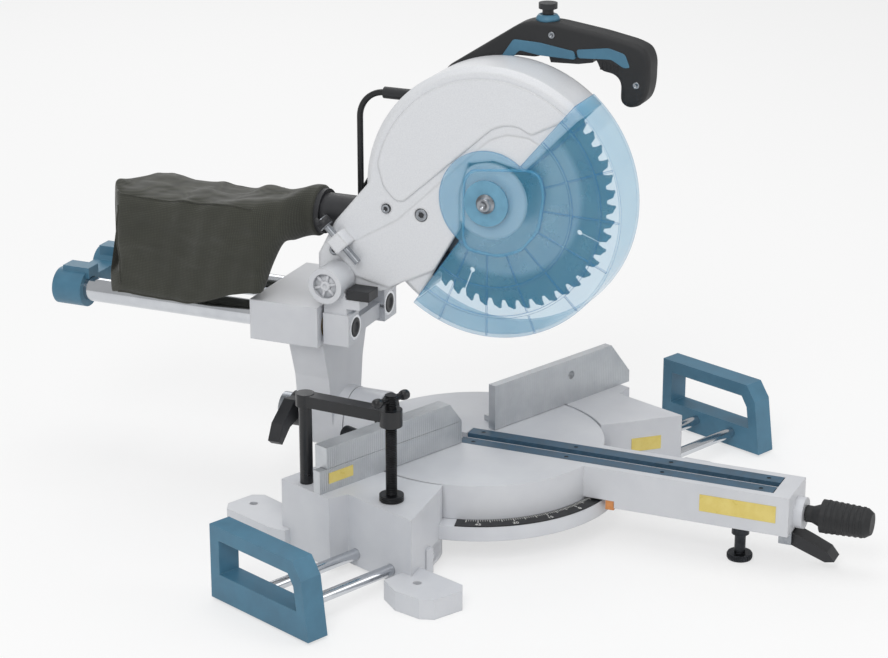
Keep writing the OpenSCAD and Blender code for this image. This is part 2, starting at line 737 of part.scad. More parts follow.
// Vise in the left hole
module vise_post() color("#1E1F21") difference() {
  union() {
    along_z(table_h - 30, vise_z + 14, vise_x, vise_y, post_r);
    translate([vise_x, vise_y, 0]) rotate([0, 0, vise_turn])
      box(-8, 8, 1 - vise_reach, -1, vise_z + 0.6, vise_z + 13.4);
    along_z(vise_z, vise_z + 14, vise_x, vise_y, 10);
    along_z(vise_z - 4, vise_z + 14, screw_x, screw_y, 12);
  }
  along_z(vise_z - 5, vise_z + 15, screw_x, screw_y, 6 + fit);
}

module vise_screw() color("#1E1F21") {
  along_z(table_h + 1, vise_z + 30, screw_x, screw_y, 6);
  along_z(table_h + 0.6, table_h + 7, screw_x, screw_y, 13);
  along_x(screw_x - 20, screw_x + 20, screw_y, vise_z + 25, 3.5);
}

base_casting();
mitre_scale();
lower_fence();
right_fence();
fence_screws();
upper_fence();
label_plates();
pivot_bolt();
turntable();
kerf_boards();
kerf_screws();
mitre_pointer();
arm_label();
mitre_grip();
lock_lever();
lever_hanger();
level_bolt();
bevel_scale();
bevel_arm();
slide_bushings();
bevel_shaft();
bevel_lever();
bevel_pin();
slide_poles();
pole_bracket();
pivot_shaft();
rear_cap();
blade_case();
center_plate();
case_trim();
lower_guard();
blade();
flanges();
arbor_bolt();
spindle();
gear_housing();
motor_housing();
motor_cap();
stator();
bearings();
armature();
handle();
handle_insert();
trigger();
lock_off_button();
dust_nozzle();
bag_collar();
dust_bag();
cord_guard();
cord();
cord_coil();
plug();
depth_screw();
stopper_arm();
left_holder();
right_holder();
left_rods();
right_rods();
vise_post();
vise_screw();
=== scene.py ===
import math
import bpy
import bmesh
from mathutils import Matrix, Vector, noise


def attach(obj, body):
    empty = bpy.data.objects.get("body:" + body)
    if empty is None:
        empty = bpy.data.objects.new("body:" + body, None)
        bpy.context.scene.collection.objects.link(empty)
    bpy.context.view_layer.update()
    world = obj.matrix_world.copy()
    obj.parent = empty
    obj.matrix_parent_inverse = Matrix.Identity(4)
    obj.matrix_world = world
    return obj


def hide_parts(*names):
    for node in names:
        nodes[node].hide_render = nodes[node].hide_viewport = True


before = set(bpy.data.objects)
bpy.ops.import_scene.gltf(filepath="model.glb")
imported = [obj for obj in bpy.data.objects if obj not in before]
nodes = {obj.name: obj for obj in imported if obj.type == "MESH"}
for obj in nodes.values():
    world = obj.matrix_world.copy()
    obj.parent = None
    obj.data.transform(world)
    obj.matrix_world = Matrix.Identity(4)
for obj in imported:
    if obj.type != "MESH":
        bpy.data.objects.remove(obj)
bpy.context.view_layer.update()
scene = bpy.context.scene
scene.view_settings.view_transform = "Standard"

# everything above the turntable is drawn straight, in mm, then turned to the mitre stop
mitreDegrees = 22.5
mitred = Matrix.Rotation(math.radians(mitreDegrees), 4, "Z") @ Matrix.Scale(0.001, 4)
square = Matrix.Scale(0.001, 4)
bladeY, bladeZ = -25.0, 370.0
tableHeight = 85.0

# camera, light and floor, set to the photo
view = dict(place=(-1.8475, -1.8481, 1.1400), tilt=70.45, turn=-44.15, lens=102.65)
cameraData = bpy.data.cameras.new("photo_camera")
cameraData.lens = view["lens"]
cameraData.sensor_width = 36
camera = bpy.data.objects.new("photo_camera", cameraData)
camera.location = view["place"]
camera.rotation_euler = (math.radians(view["tilt"]), 0, math.radians(view["turn"]))
scene.collection.objects.link(camera)
scene.camera = camera


def toLinear(code):
    parts = [int(code[i:i + 2], 16) / 255 for i in (1, 3, 5)]
    return [c / 12.92 if c <= 0.04045 else ((c + 0.055) / 1.055) ** 2.4 for c in parts] + [1.0]


# adds one node, sets its options and sockets, and links sockets given as another node's output
def addNode(tree, kind, sockets=None, **options):
    made = tree.nodes.new("ShaderNode" + kind)
    for key, value in options.items():
        setattr(made, key, value)
    for key, value in (sockets or {}).items():
        if isinstance(value, bpy.types.NodeSocket):
            tree.links.new(value, made.inputs[key])
        else:
            made.inputs[key].default_value = value
    return made


# noise cells and wave bands from a real size in mm
def cells(mm):
    return 1000.0 / mm


def bands(mm):
    return 314.16 / mm


def softLight(name, place, aim, size, watts):
    data = bpy.data.lights.new(name, "AREA")
    data.shape = "DISK"
    data.size = size
    data.energy = watts
    lamp = bpy.data.objects.new(name, data)
    lamp.location = place
    lamp.rotation_euler = (Vector(aim) - Vector(place)).to_track_quat("-Z", "Y").to_euler()
    scene.collection.objects.link(lamp)


studio = dict(world=0.52, key=34, fill=13, top=20, rim=10)
softLight("key_box", (-2.2, -1.3, 2.5), (0, 0, 0.25), 1.6, studio["key"])
softLight("fill_box", (1.6, -2.6, 1.5), (0, 0, 0.25), 1.8, studio["fill"])
softLight("top_box", (0.2, 0.4, 3.0), (0, 0, 0.2), 2.2, studio["top"])
softLight("rim_box", (1.4, 2.4, 1.8), (0, 0, 0.3), 1.4, studio["rim"])
world = bpy.data.worlds.new("studio_white")
scene.world = world
world.use_nodes = True
tree = world.node_tree
tree.nodes.clear()
seen = addNode(tree, "LightPath")
direct = addNode(
    tree, "Math", {0: seen.outputs["Is Camera Ray"], 1: seen.outputs["Is Transmission Ray"]}, operation="MAXIMUM")
lit = addNode(tree, "Background", {"Color": toLinear("#FFFFFF"), "Strength": studio["world"]})
shown = addNode(tree, "Background", {"Color": toLinear("#FFFFFF"), "Strength": 1.0})
both = addNode(tree, "MixShader", {0: direct.outputs[0], 1: lit.outputs[0], 2: shown.outputs[0]})
addNode(tree, "OutputWorld", {"Surface": both.outputs[0]})


def emptyMaterial(name):
    material = bpy.data.materials.new(name)
    material.use_nodes = True
    material.node_tree.nodes.clear()
    return material, material.node_tree


floorPaper, tree = emptyMaterial("floor_paper_white")
seen = addNode(tree, "LightPath")
direct = addNode(tree, "Math", {0: seen.outputs["Is Camera Ray"], 1: seen.outputs["Is Glossy Ray"]}, operation="MAXIMUM")
direct = addNode(tree, "Math", {0: direct.outputs[0], 1: seen.outputs["Is Transmission Ray"]}, operation="MAXIMUM")
share = addNode(tree, "Math", {0: direct.outputs[0], 1: 0.62}, operation="MULTIPLY")
paper = addNode(tree, "BsdfDiffuse", {"Color": toLinear("#F6F6F6")})
glow = addNode(tree, "Emission", {"Color": toLinear("#FFFFFF"), "Strength": 1.0})
both = addNode(tree, "MixShader", {0: share.outputs[0], 1: paper.outputs[0], 2: glow.outputs[0]})
addNode(tree, "OutputMaterial", {"Surface": both.outputs[0]})
floorMesh = bpy.data.meshes.new("floor")
floorMesh.from_pydata([(-14, -14, 0), (14, -14, 0), (14, 14, 0), (-14, 14, 0)], [], [(0, 1, 2, 3)])
floorMesh.materials.append(floorPaper)
floor = bpy.data.objects.new("floor", floorMesh)
scene.collection.objects.link(floor)
print("camera, light and floor")


# one moulded, cast or ground surface: two close tones, a mottle, a fine grain that lifts the surface,
# roughness that follows the mottle, and edges that catch the light as if rounded by edgeMm
def madeSurface(name, tone, darker, mottleMm, grainMm, grainDepth, rough, edgeMm=0.8, metal=0.0, wear=None):
    material, tree = emptyMaterial(name)
    coords = addNode(tree, "TexCoord")
    where = coords.outputs["Object"]
    mottle = addNode(tree, "TexNoise", {"Vector": where, "Scale": cells(mottleMm), "Detail": 3.0, "Roughness": 0.6})
    grain = addNode(tree, "TexNoise", {"Vector": where, "Scale": cells(grainMm), "Detail": 2.0, "Roughness": 0.55})
    tones = addNode(tree, "ValToRGB", {0: mottle.outputs["Fac"]})
    tones.color_ramp.elements[0].position = 0.36
    tones.color_ramp.elements[0].color = toLinear(darker)
    tones.color_ramp.elements[1].position = 0.64
    tones.color_ramp.elements[1].color = toLinear(tone)
    colour = tones.outputs["Color"]
    rounded = addNode(tree, "Bevel", {"Radius": edgeMm / 1000}, samples=4)
    if wear:
        # where the rounded normal leaves the flat one there is an edge: paint is thinner and rubbed there
        plain = addNode(tree, "NewGeometry")
        turn = addNode(tree, "VectorMath", {0: rounded.outputs[0], 1: plain.outputs["Normal"]}, operation="DOT_PRODUCT")
        edge = addNode(tree, "MapRange", {0: turn.outputs["Value"], 1: 0.985, 2: 0.86, 3: 0.0, 4: 1.0})
        patchy = addNode(tree, "Math", {0: edge.outputs[0], 1: mottle.outputs["Fac"]}, operation="MULTIPLY")
        worn = addNode(tree, "Mix", {0: patchy.outputs[0], 6: colour, 7: toLinear(wear)}, data_type="RGBA")
        colour = worn.outputs[2]
    gloss = addNode(tree, "MapRange", {0: mottle.outputs["Fac"], 1: 0.3, 2: 0.7, 3: rough[0], 4: rough[1]})
    lift = addNode(tree, "Bump", {
        "Strength": 0.5, "Distance": grainDepth / 1000, "Height": grain.outputs["Fac"], "Normal": rounded.outputs[0]})
    skin = addNode(tree, "BsdfPrincipled", {"Base Color": toLinear(tone), "Metallic": metal, "Roughness": rough[1]})
    tree.links.new(colour, skin.inputs["Base Color"])
    tree.links.new(gloss.outputs[0], skin.inputs["Roughness"])
    tree.links.new(lift.outputs[0], skin.inputs["Normal"])
    addNode(tree, "OutputMaterial", {"Surface": skin.outputs[0]})
    return material, tree, skin, lift, coords


# silver-grey powder paint on die-cast aluminium: satin, a fine orange peel and a metallic fleck
castingPaint, _, skin, _, _ = madeSurface(
    "die_cast_silver_paint", tone="#D6D8DC", darker="#CFD1D6",
    mottleMm=60, grainMm=1.1, grainDepth=0.05, rough=(0.36, 0.46), edgeMm=1.4, wear="#E9EAEC")
skin.inputs["Coat Weight"].default_value = 0.15
skin.inputs["Coat Roughness"].default_value = 0.3
# the same paint on the blade case, paler, with a fleck of about 0.6 mm that is drawn at 1.2 mm to show
casePaint, _, skin, _, _ = madeSurface(
    "case_pale_fleck_paint", tone="#E4E6E9", darker="#DCDEE2",
    mottleMm=1.2, grainMm=0.9, grainDepth=0.03, rough=(0.3, 0.42), edgeMm=5.0, wear="#F2F3F4")
skin.inputs["Coat Weight"].default_value = 0.25
skin.inputs["Coat Roughness"].default_value = 0.22
# moulded blue ABS with a spark-eroded grain
blueAbs = madeSurface(
    "moulded_blue_abs", tone="#4C7D97", darker="#44728B",
    mottleMm=35, grainMm=0.9, grainDepth=0.06, rough=(0.38, 0.5), edgeMm=1.0, wear="#6C9BB2")[0]
# the kerf boards are a tougher, darker nylon, scuffed by timber
boardNylon = madeSurface(
    "kerf_board_nylon", tone="#3F6078", darker="#375468",
    mottleMm=9, grainMm=1.2, grainDepth=0.05, rough=(0.4, 0.58), edgeMm=0.5, wear="#5E7F95")[0]
# glass-filled black nylon: matt, finely pitted
blackNylon = madeSurface(
    "glass_filled_black_nylon", tone="#2C2D30", darker="#232427",
    mottleMm=25, grainMm=0.8, grainDepth=0.08, rough=(0.42, 0.56), edgeMm=1.0, wear="#3A3B3E")[0]
# soft rubber on the grips, with a coarse matt grain
gripRubber = madeSurface(
    "soft_grip_rubber", tone="#27282A", darker="#1F2022",
    mottleMm=18, grainMm=1.6, grainDepth=0.16, rough=(0.55, 0.7), edgeMm=2.2, wear="#343538")[0]
# black oxide screws and bolts, oily and half bright on the corners
blackOxide = madeSurface(
    "black_oxide_steel", tone="#3C3E42", darker="#2C2E31",
    mottleMm=8, grainMm=0.6, grainDepth=0.02, rough=(0.28, 0.42), edgeMm=0.4, metal=0.9, wear="#77797D")[0]
# black enamel on the vise
viseEnamel = madeSurface(
    "vise_black_enamel", tone="#1F2023", darker="#18191B",
    mottleMm=30, grainMm=1.4, grainDepth=0.05, rough=(0.24, 0.36), edgeMm=0.8, wear="#4A4B4E")[0]
# hard-chromed poles and rods: mirror bright with faint lengthwise polish
chrome = madeSurface(
    "hard_chrome_ground", tone="#D2D5D9", darker="#C6C9CE",
    mottleMm=40, grainMm=0.5, grainDepth=0.004, rough=(0.1, 0.17), edgeMm=0.5, metal=1.0)[0]
# zinc-plated steel: greyer and softer than chrome
zincSteel = madeSurface(
    "zinc_plated_steel", tone="#A9ADB2", darker="#979BA1",
    mottleMm=6, grainMm=0.7, grainDepth=0.015, rough=(0.26, 0.38), edgeMm=0.5, metal=1.0)[0]
# sintered bearing bronze
bronze = madeSurface(
    "sintered_bronze", tone="#A38245", darker="#8A6C36",
    mottleMm=3, grainMm=0.5, grainDepth=0.03, rough=(0.35, 0.5), edgeMm=0.3, metal=1.0)[0]
# varnished laminations and copper windings inside the motor
windings = madeSurface(
    "varnished_copper_windings", tone="#8A4B24", darker="#5B3A22",
    mottleMm=4, grainMm=1.0, grainDepth=0.2, rough=(0.35, 0.55), edgeMm=0.3, metal=0.3)[0]
# orange acetal pointer
pointerAcetal = madeSurface(
    "orange_acetal", tone="#DB9357", darker="#CC8449",
    mottleMm=6, grainMm=0.6, grainDepth=0.02, rough=(0.32, 0.42), edgeMm=0.5)[0]
# blank yellow plates of printed vinyl: glossy, nearly flat
labelVinyl = madeSurface(
    "blank_yellow_vinyl", tone="#E6D27B", darker="#DFC96C",
    mottleMm=14, grainMm=1.5, grainDepth=0.01, rough=(0.26, 0.36), edgeMm=0.3)[0]
# black anodised scale plates
scaleAnodised = madeSurface(
    "black_anodised_plate", tone="#1B1C1F", darker="#141517",
    mottleMm=10, grainMm=0.5, grainDepth=0.01, rough=(0.3, 0.42), edgeMm=0.2, metal=0.2)[0]
# white screen-printed marks
scaleInk = madeSurface(
    "white_screen_ink", tone="#F1F1EE", darker="#E6E6E2",
    mottleMm=3, grainMm=0.5, grainDepth=0.01, rough=(0.45, 0.6), edgeMm=0.1)[0]
# carbide tips: dark, finely ground
carbide = madeSurface(
    "ground_carbide", tone="#6E7278", darker="#5A5E64",
    mottleMm=2, grainMm=0.4, grainDepth=0.01, rough=(0.2, 0.3), edgeMm=0.2, metal=1.0)[0]
# PVC cord sheath, slightly waxy
cordPvc = madeSurface(
    "black_pvc_sheath", tone="#1D1E20", darker="#17181A",
    mottleMm=12, grainMm=1.0, grainDepth=0.02, rough=(0.38, 0.5), edgeMm=0.3)[0]
# hook-and-loop tie
tieTape = madeSurface(
    "hook_and_loop_tape", tone="#303134", darker="#1E1F21",
    mottleMm=1.6, grainMm=1.0, grainDepth=0.3, rough=(0.8, 0.95), edgeMm=0.3)[0]
print("paints, plastics and metals")

# machined aluminium fences: fine upright ribs, 3 mm apart, left by the mill
fenceMilled, tree, skin, lift, coords = madeSurface(
    "milled_fence_aluminium", tone="#CDD0D3", darker="#C2C5C9",
    mottleMm=30, grainMm=0.6, grainDepth=0.01, rough=(0.34, 0.46), edgeMm=0.5, metal=0.75, wear="#E4E6E8")
ribs = addNode(
    tree, "TexWave", {"Vector": coords.outputs["Object"], "Scale": bands(3.0), "Distortion": 0.0},
    wave_type="BANDS", bands_direction="X")
ribbed = addNode(tree, "Bump", {
    "Strength": 0.55, "Distance": 0.0006, "Height": ribs.outputs["Fac"], "Normal": lift.outputs[0]})
tree.links.new(ribbed.outputs[0], skin.inputs["Normal"])

# glossy blue cap over the arbor
hubCap = madeSurface(
    "glossy_blue_cap", tone="#6FA6C2", darker="#6398B4",
    mottleMm=20, grainMm=0.8, grainDepth=0.02, rough=(0.18, 0.28), edgeMm=1.0, wear="#A9D3E6")[0]
# saw blade: ground steel plate with rings about the arbor, 1 mm apart so that they show
sawSteel, tree, skin, lift, coords = madeSurface(
    "ground_saw_steel", tone="#BCC3C9", darker="#AAB2B9",
    mottleMm=24, grainMm=0.5, grainDepth=0.006, rough=(0.24, 0.34), edgeMm=0.3, metal=1.0)
aboutArbor = addNode(tree, "Mapping", {
    "Vector": coords.outputs["Object"], "Rotation": (0, 0, -math.radians(mitreDegrees)),
    "Location": (0, -bladeY / 1000, -bladeZ / 1000)})
rings = addNode(
    tree, "TexWave", {"Vector": aboutArbor.outputs[0], "Scale": bands(1.0), "Distortion": 1.5, "Detail": 2.0},
    wave_type="RINGS", rings_direction="X")
ringed = addNode(tree, "Bump", {
    "Strength": 0.25, "Distance": 0.00008, "Height": rings.outputs["Fac"], "Normal": lift.outputs[0]})
tree.links.new(ringed.outputs[0], skin.inputs["Normal"])
skin.inputs["Anisotropic"].default_value = 0.5
# painted reflection: beyond 88 to 96 mm from the arbor the blade's colour is painted dark grey, standing in for the
# dark the ground steel reflects near the teeth
away = addNode(tree, "SeparateXYZ", {0: aboutArbor.outputs[0]})
flatOut = addNode(tree, "CombineXYZ", {1: away.outputs[1], 2: away.outputs[2]})
reach = addNode(tree, "VectorMath", {0: flatOut.outputs[0]}, operation="LENGTH")
band = addNode(tree, "MapRange", {0: reach.outputs["Value"], 1: 0.088, 2: 0.096, 3: 0.0, 4: 1.0})
paintedReflectionRing = addNode(tree, "Mix", {0: band.outputs[0], 6: toLinear("#AEB6BD"), 7: toLinear("#5C656D")}, data_type="RGBA")
tree.links.new(paintedReflectionRing.outputs[2], skin.inputs["Base Color"])

# screw threads: a rolled thread of 2 mm pitch on upright screws
threadSteel, tree, skin, lift, coords = madeSurface(
    "rolled_thread_black", tone="#26272A", darker="#1C1D1F",
    mottleMm=10, grainMm=0.6, grainDepth=0.01, rough=(0.28, 0.4), edgeMm=0.3, metal=0.6, wear="#5A5C60")
turns = addNode(
    tree, "TexWave", {"Vector": coords.outputs["Object"], "Scale": bands(2.0), "Distortion": 0.0},
    wave_type="BANDS", bands_direction="Z", wave_profile="TRI")
threaded = addNode(tree, "Bump", {
    "Strength": 0.9, "Distance": 0.0012, "Height": turns.outputs["Fac"], "Normal": lift.outputs[0]})
tree.links.new(threaded.outputs[0], skin.inputs["Normal"])

# clear blue polycarbonate guard: tinted through, glossy, lightly hazed and scratched
guardClear, tree = emptyMaterial("clear_blue_polycarbonate")
coords = addNode(tree, "TexCoord")
haze = addNode(tree, "TexNoise", {"Vector": coords.outputs["Object"], "Scale": cells(30), "Detail": 4.0})
tones = addNode(tree, "ValToRGB", {0: haze.outputs["Fac"]})
tones.color_ramp.elements[0].position = 0.3
tones.color_ramp.elements[0].color = toLinear("#57B5DE")
tones.color_ramp.elements[1].position = 0.7
tones.color_ramp.elements[1].color = toLinear("#74C6E8")
rounded = addNode(tree, "Bevel", {"Radius": 0.0012}, samples=6)
# painted shade: where the rounded normal leaves the flat one, the guard's edges are painted a deeper blue and made more
# opaque, standing in for the dark outline light gives clear plastic at its edges
plain = addNode(tree, "NewGeometry")
turn = addNode(tree, "VectorMath", {0: rounded.outputs[0], 1: plain.outputs["Normal"]}, operation="DOT_PRODUCT")
edge = addNode(tree, "MapRange", {0: turn.outputs["Value"], 1: 0.99, 2: 0.84, 3: 0.0, 4: 1.0})
paintedEdgeShade = addNode(tree, "Mix", {0: edge.outputs[0], 6: tones.outputs["Color"], 7: toLinear("#3C78B6")}, data_type="RGBA")
slant = addNode(tree, "LayerWeight", {"Blend": 0.35})
body = addNode(tree, "MapRange", {0: slant.outputs["Facing"], 1: 0.22, 2: 0.92, 3: 0.24, 4: 0.60})
dense = addNode(tree, "Math", {0: edge.outputs[0], 1: 0.42}, operation="MULTIPLY")
solid = addNode(tree, "Math", {0: body.outputs[0], 1: dense.outputs[0]}, operation="ADD", use_clamp=True)
gloss = addNode(tree, "MapRange", {0: haze.outputs["Fac"], 1: 0.3, 2: 0.7, 3: 0.07, 4: 0.14})
skin = addNode(tree, "BsdfPrincipled", {"Base Color": toLinear("#5CB2D8"), "Roughness": 0.1, "IOR": 1.58, "Alpha": 0.34})
tree.links.new(paintedEdgeShade.outputs[2], skin.inputs["Base Color"])
tree.links.new(solid.outputs[0], skin.inputs["Alpha"])
tree.links.new(gloss.outputs[0], skin.inputs["Roughness"])
tree.links.new(rounded.outputs[0], skin.inputs["Normal"])
addNode(tree, "OutputMaterial", {"Surface": skin.outputs[0]})

# olive-grey canvas: plain weave of about 0.9 mm threads, drawn at 1.8 mm so that it shows
bagCanvas, tree = emptyMaterial("woven_olive_canvas")
coords = addNode(tree, "TexCoord")
along = addNode(tree, "Mapping", {"Vector": coords.outputs["Object"], "Rotation": (0, 0, -math.radians(mitreDegrees))})
threads = {"Vector": along.outputs[0], "Scale": bands(1.8), "Distortion": 0.6, "Detail": 1.0}
warp = addNode(tree, "TexWave", threads, wave_type="BANDS", bands_direction="Y")
weft = addNode(tree, "TexWave", threads, wave_type="BANDS", bands_direction="Z")
cloth = addNode(tree, "Math", {0: warp.outputs["Fac"], 1: weft.outputs["Fac"]}, operation="MULTIPLY")
fade = addNode(tree, "TexNoise", {"Vector": along.outputs[0], "Scale": cells(45), "Detail": 5.0, "Roughness": 0.65})
tones = addNode(tree, "ValToRGB", {0: fade.outputs["Fac"]})
tones.color_ramp.elements[0].position = 0.32
tones.color_ramp.elements[0].color = toLinear("#3B3C34")
tones.color_ramp.elements[1].position = 0.68
tones.color_ramp.elements[1].color = toLinear("#4C4D42")
shadeThread = addNode(
    tree, "Mix", {0: cloth.outputs[0], 6: toLinear("#33342D"), 7: tones.outputs["Color"]}, data_type="RGBA")
lift = addNode(tree, "Bump", {"Strength": 0.5, "Distance": 0.0005, "Height": cloth.outputs[0]})
skin = addNode(tree, "BsdfPrincipled", {
    "Base Color": toLinear("#45463C"), "Roughness": 0.86, "Sheen Weight": 0.25, "Sheen Roughness": 0.5})
tree.links.new(shadeThread.outputs[2], skin.inputs["Base Color"])
tree.links.new(lift.outputs[0], skin.inputs["Normal"])
addNode(tree, "OutputMaterial", {"Surface": skin.outputs[0]})
print("guard, blade, fence and canvas finishes")

finishes = {
    castingPaint: ["base_casting", "turntable", "bevel_arm", "pole_bracket", "gear_housing"],
    casePaint: ["blade_case"],
    fenceMilled: ["lower_fence", "right_fence", "upper_fence"],
    hubCap: ["center_plate"],
    boardNylon: ["kerf_boards"],
    blueAbs: ["rear_cap", "handle_insert", "left_holder", "right_holder"],
    blackNylon: ["trigger", "lock_lever", "bevel_lever", "motor_housing", "motor_cap",
                 "lock_off_button", "dust_nozzle", "bag_collar", "cord_guard", "stopper_arm"],
    gripRubber: ["handle", "mitre_grip"],
    guardClear: ["lower_guard"],
    sawSteel: ["blade"],
    chrome: ["slide_poles", "left_rods", "right_rods", "pivot_shaft"],
    zincSteel: ["pivot_bolt", "arbor_bolt", "spindle", "bearings", "bevel_shaft", "bevel_pin", "depth_screw",
                "lever_hanger"],
    blackOxide: ["flanges", "fence_screws", "kerf_screws", "level_bolt", "case_trim"],
    viseEnamel: ["vise_post"],
    threadSteel: ["vise_screw"],
    scaleAnodised: ["mitre_scale", "bevel_scale"],
    labelVinyl: ["label_plates", "arm_label"],
    pointerAcetal: ["mitre_pointer"],
    bronze: ["slide_bushings"],
    windings: ["stator", "armature"],
    bagCanvas: ["dust_bag"],
    cordPvc: ["cord", "cord_coil", "plug"],
}
for material, names in finishes.items():
    for name in names:
        slots = nodes[name].data.materials
        for i in range(len(slots)):
            slots[i] = material
        if not len(slots):
            slots.append(material)
print("finishes on %d solids" % sum(len(v) for v in finishes.values()))


# pieces made here are given in mm and moved to their place by a matrix, then ride one body
def piece(name, points, faces, material, body, place, smooth=True, softer=0):
    mesh = bpy.data.meshes.new(name)
    mesh.from_pydata([place @ Vector(p) for p in points], [], faces)
    mesh.validate()
    tidy = bmesh.new()
    tidy.from_mesh(mesh)
    bmesh.ops.remove_doubles(tidy, verts=tidy.verts, dist=1e-6)
    bmesh.ops.recalc_face_normals(tidy, faces=tidy.faces)
    tidy.to_mesh(mesh)
    tidy.free()
    mesh.materials.append(material)
    for f in mesh.polygons:
        f.use_smooth = smooth
    made = bpy.data.objects.new(name, mesh)
    scene.collection.objects.link(made)
    if softer:
        step = made.modifiers.new("softer", "SUBSURF")
        step.levels = softer
        step.render_levels = softer
    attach(made, body)
    return made


# closed loops of points joined in turn, with end caps
def skinLoops(loops, capped=True):
    n = len(loops[0])
    points = [p for loop in loops for p in loop]
    faces = []
    for i in range(len(loops) - 1):
        for k in range(n):
            a, b = i * n + k, i * n + (k + 1) % n
            faces.append([a, b, b + n, a + n])
    if capped:
        faces.append(list(range(n))[::-1])
        faces.append([(len(loops) - 1) * n + k for k in range(n)])
    return points, faces


# a turned profile [(distance along, radius)] about an axis through centre
def turned(profile, centre, axis, sides=40):
    axis = Vector(axis).normalized()
    across = axis.orthogonal().normalized()
    up = axis.cross(across)
    loops = []
    for d, r in profile:
        ring = []
        for k in range(sides):
            a = 2 * math.pi * k / sides
            ring.append(Vector(centre) + axis * d + (across * math.cos(a) + up * math.sin(a)) * r)
        loops.append(ring)
    return skinLoops(loops)


def several(parts):
    points, faces = [], []
    for p, f in parts:
        base = len(points)
        points += [Vector(q) for q in p]
        faces += [[base + i for i in g] for g in f]
    return points, faces


boxFaces = [[0, 2, 3, 1], [4, 5, 7, 6], [0, 1, 5, 4], [2, 6, 7, 3], [0, 4, 6, 2], [1, 3, 7, 5]]


# a box by its limits
def slab(x0, x1, y0, y1, z0, z1):
    points = [(x, y, z) for z in (z0, z1) for y in (y0, y1) for x in (x0, x1)]
    return points, boxFaces


# a plate with rounded edges: outlines across the head given as (y, z), the first outside and the others holes
def plate(name, outlines, x0, x1, edge, material, body):
    shape = bpy.data.curves.new(name, "CURVE")
    shape.dimensions = "2D"
    shape.fill_mode = "BOTH"
    shape.extrude = (x1 - x0) / 2 - edge
    shape.bevel_depth = edge
    shape.bevel_resolution = 3
    shape.offset = -edge
    for outline in outlines:
        line = shape.splines.new("POLY")
        line.points.add(len(outline) - 1)
        for point, (y, z) in zip(line.points, outline):
            point.co = (y, z, 0, 1)
        line.use_cyclic_u = True
    drawn = bpy.data.objects.new(name + "_drawn", shape)
    mesh = bpy.data.meshes.new_from_object(drawn)
    points = [(v.co.z + (x0 + x1) / 2, v.co.x, v.co.y) for v in mesh.vertices]
    faces = [list(f.vertices) for f in mesh.polygons]
    bpy.data.objects.remove(drawn)
    bpy.data.curves.remove(shape)
    bpy.data.meshes.remove(mesh)
    return piece(name, points, faces, material, body, mitred, False)


# points on a circle about the blade, where 0 degrees is the front and 90 the top
def aboutBlade(a0, a1, r, steps):
    turns = [math.radians(a0 + (a1 - a0) * i / steps) for i in range(steps + 1)]
    return [(bladeY - r * math.cos(a), bladeZ + r * math.sin(a)) for a in turns]


# an outline with its corners cut round by radius r
def softened(outline, r, steps=4):
    line = []
    for i, corner in enumerate(outline):
        before, after = Vector(outline[i - 1]), Vector(outline[(i + 1) % len(outline)])
        here = Vector(corner)
        a = here + (before - here).normalized() * min(r, (before - here).length * 0.45)
        b = here + (after - here).normalized() * min(r, (after - here).length * 0.45)
        for k in range(steps + 1):
            t = k / steps
            line.append(tuple(a * (1 - t) ** 2 + here * 2 * t * (1 - t) + b * t * t))
    return line


# mains cord: leaves its sleeve, drops behind the case, hangs in turns on the hook
lead = dict(
    diameter=7.0, exit=(40.0, 130.0, 456.0), dropY=160.0, bend=30.0, coilRadius=36.0, coilZ=330.0, pitch=7.8, turns=10,
    tail=44.0)
exitX, exitY, exitZ = lead["exit"]
route = []
for i in range(13):
    a = math.pi / 2 * i / 12
    route.append((exitX, exitY + lead["bend"] * math.sin(a), exitZ - lead["bend"] * (1 - math.cos(a))))
top = exitZ - lead["bend"]
for i in range(1, 7):
    route.append((exitX, lead["dropY"], top + (lead["coilZ"] - top) * i / 7))
coilY = lead["dropY"] - lead["coilRadius"]
for i in range(lead["turns"] * 28 + 1):
    t = i / 28
    a = -2 * math.pi * t
    across, up = lead["coilRadius"] * math.cos(a), lead["coilRadius"] * math.sin(a)
    route.append((exitX + lead["pitch"] * t, coilY + across, lead["coilZ"] + up))
coilEnd = exitX + lead["pitch"] * lead["turns"]
for i in range(1, 5):
    route.append((coilEnd, lead["dropY"], lead["coilZ"] - lead["tail"] * i / 4))
route = [mitred @ Vector(p) for p in route]
cordCurve = bpy.data.curves.new("mains_cord", "CURVE")
cordCurve.dimensions = "3D"
cordCurve.bevel_depth = lead["diameter"] / 2000
cordCurve.bevel_resolution = 3
cordCurve.use_fill_caps = True
line = cordCurve.splines.new("POLY")
line.points.add(len(route) - 1)
for point, place in zip(line.points, route):
    point.co = (*place, 1)
cordCurve.materials.append(cordPvc)
mainsCord = bpy.data.objects.new("mains_cord", cordCurve)
scene.collection.objects.link(mainsCord)
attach(mainsCord, "head")
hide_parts("cord", "cord_coil")

# plug: ribbed sleeve, rounded body and two round pins
plugEnd = lead["coilZ"] - lead["tail"]
sleeve = [(-2, 4.2)] + [(2 * i + j, 8.6 - 0.35 * (i % 2) - 0.3 * j) for i in range(8) for j in (0, 1)]
bodyProfile = [(15, 9), (17, 12), (20, 16), (24, 17.6), (30, 17.9), (38, 17.6), (42, 16.6), (44, 14.5)]
pinProfile = [(43, 2.3), (54, 2.3), (54.1, 2.4), (61, 2.4), (62.6, 1.8), (63, 1.0)]
down = (0, 0, -1)
plugPlace = (coilEnd, lead["dropY"], plugEnd)
parts = [turned(sleeve, plugPlace, down, 28), turned(bodyProfile, plugPlace, down, 36)]
for side in (-9.5, 9.5):
    parts.append(turned(pinProfile, (coilEnd + side, lead["dropY"], plugEnd), down, 20))
plugPiece = piece("cord_plug", *several(parts), cordPvc, "head", mitred)
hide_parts("plug")

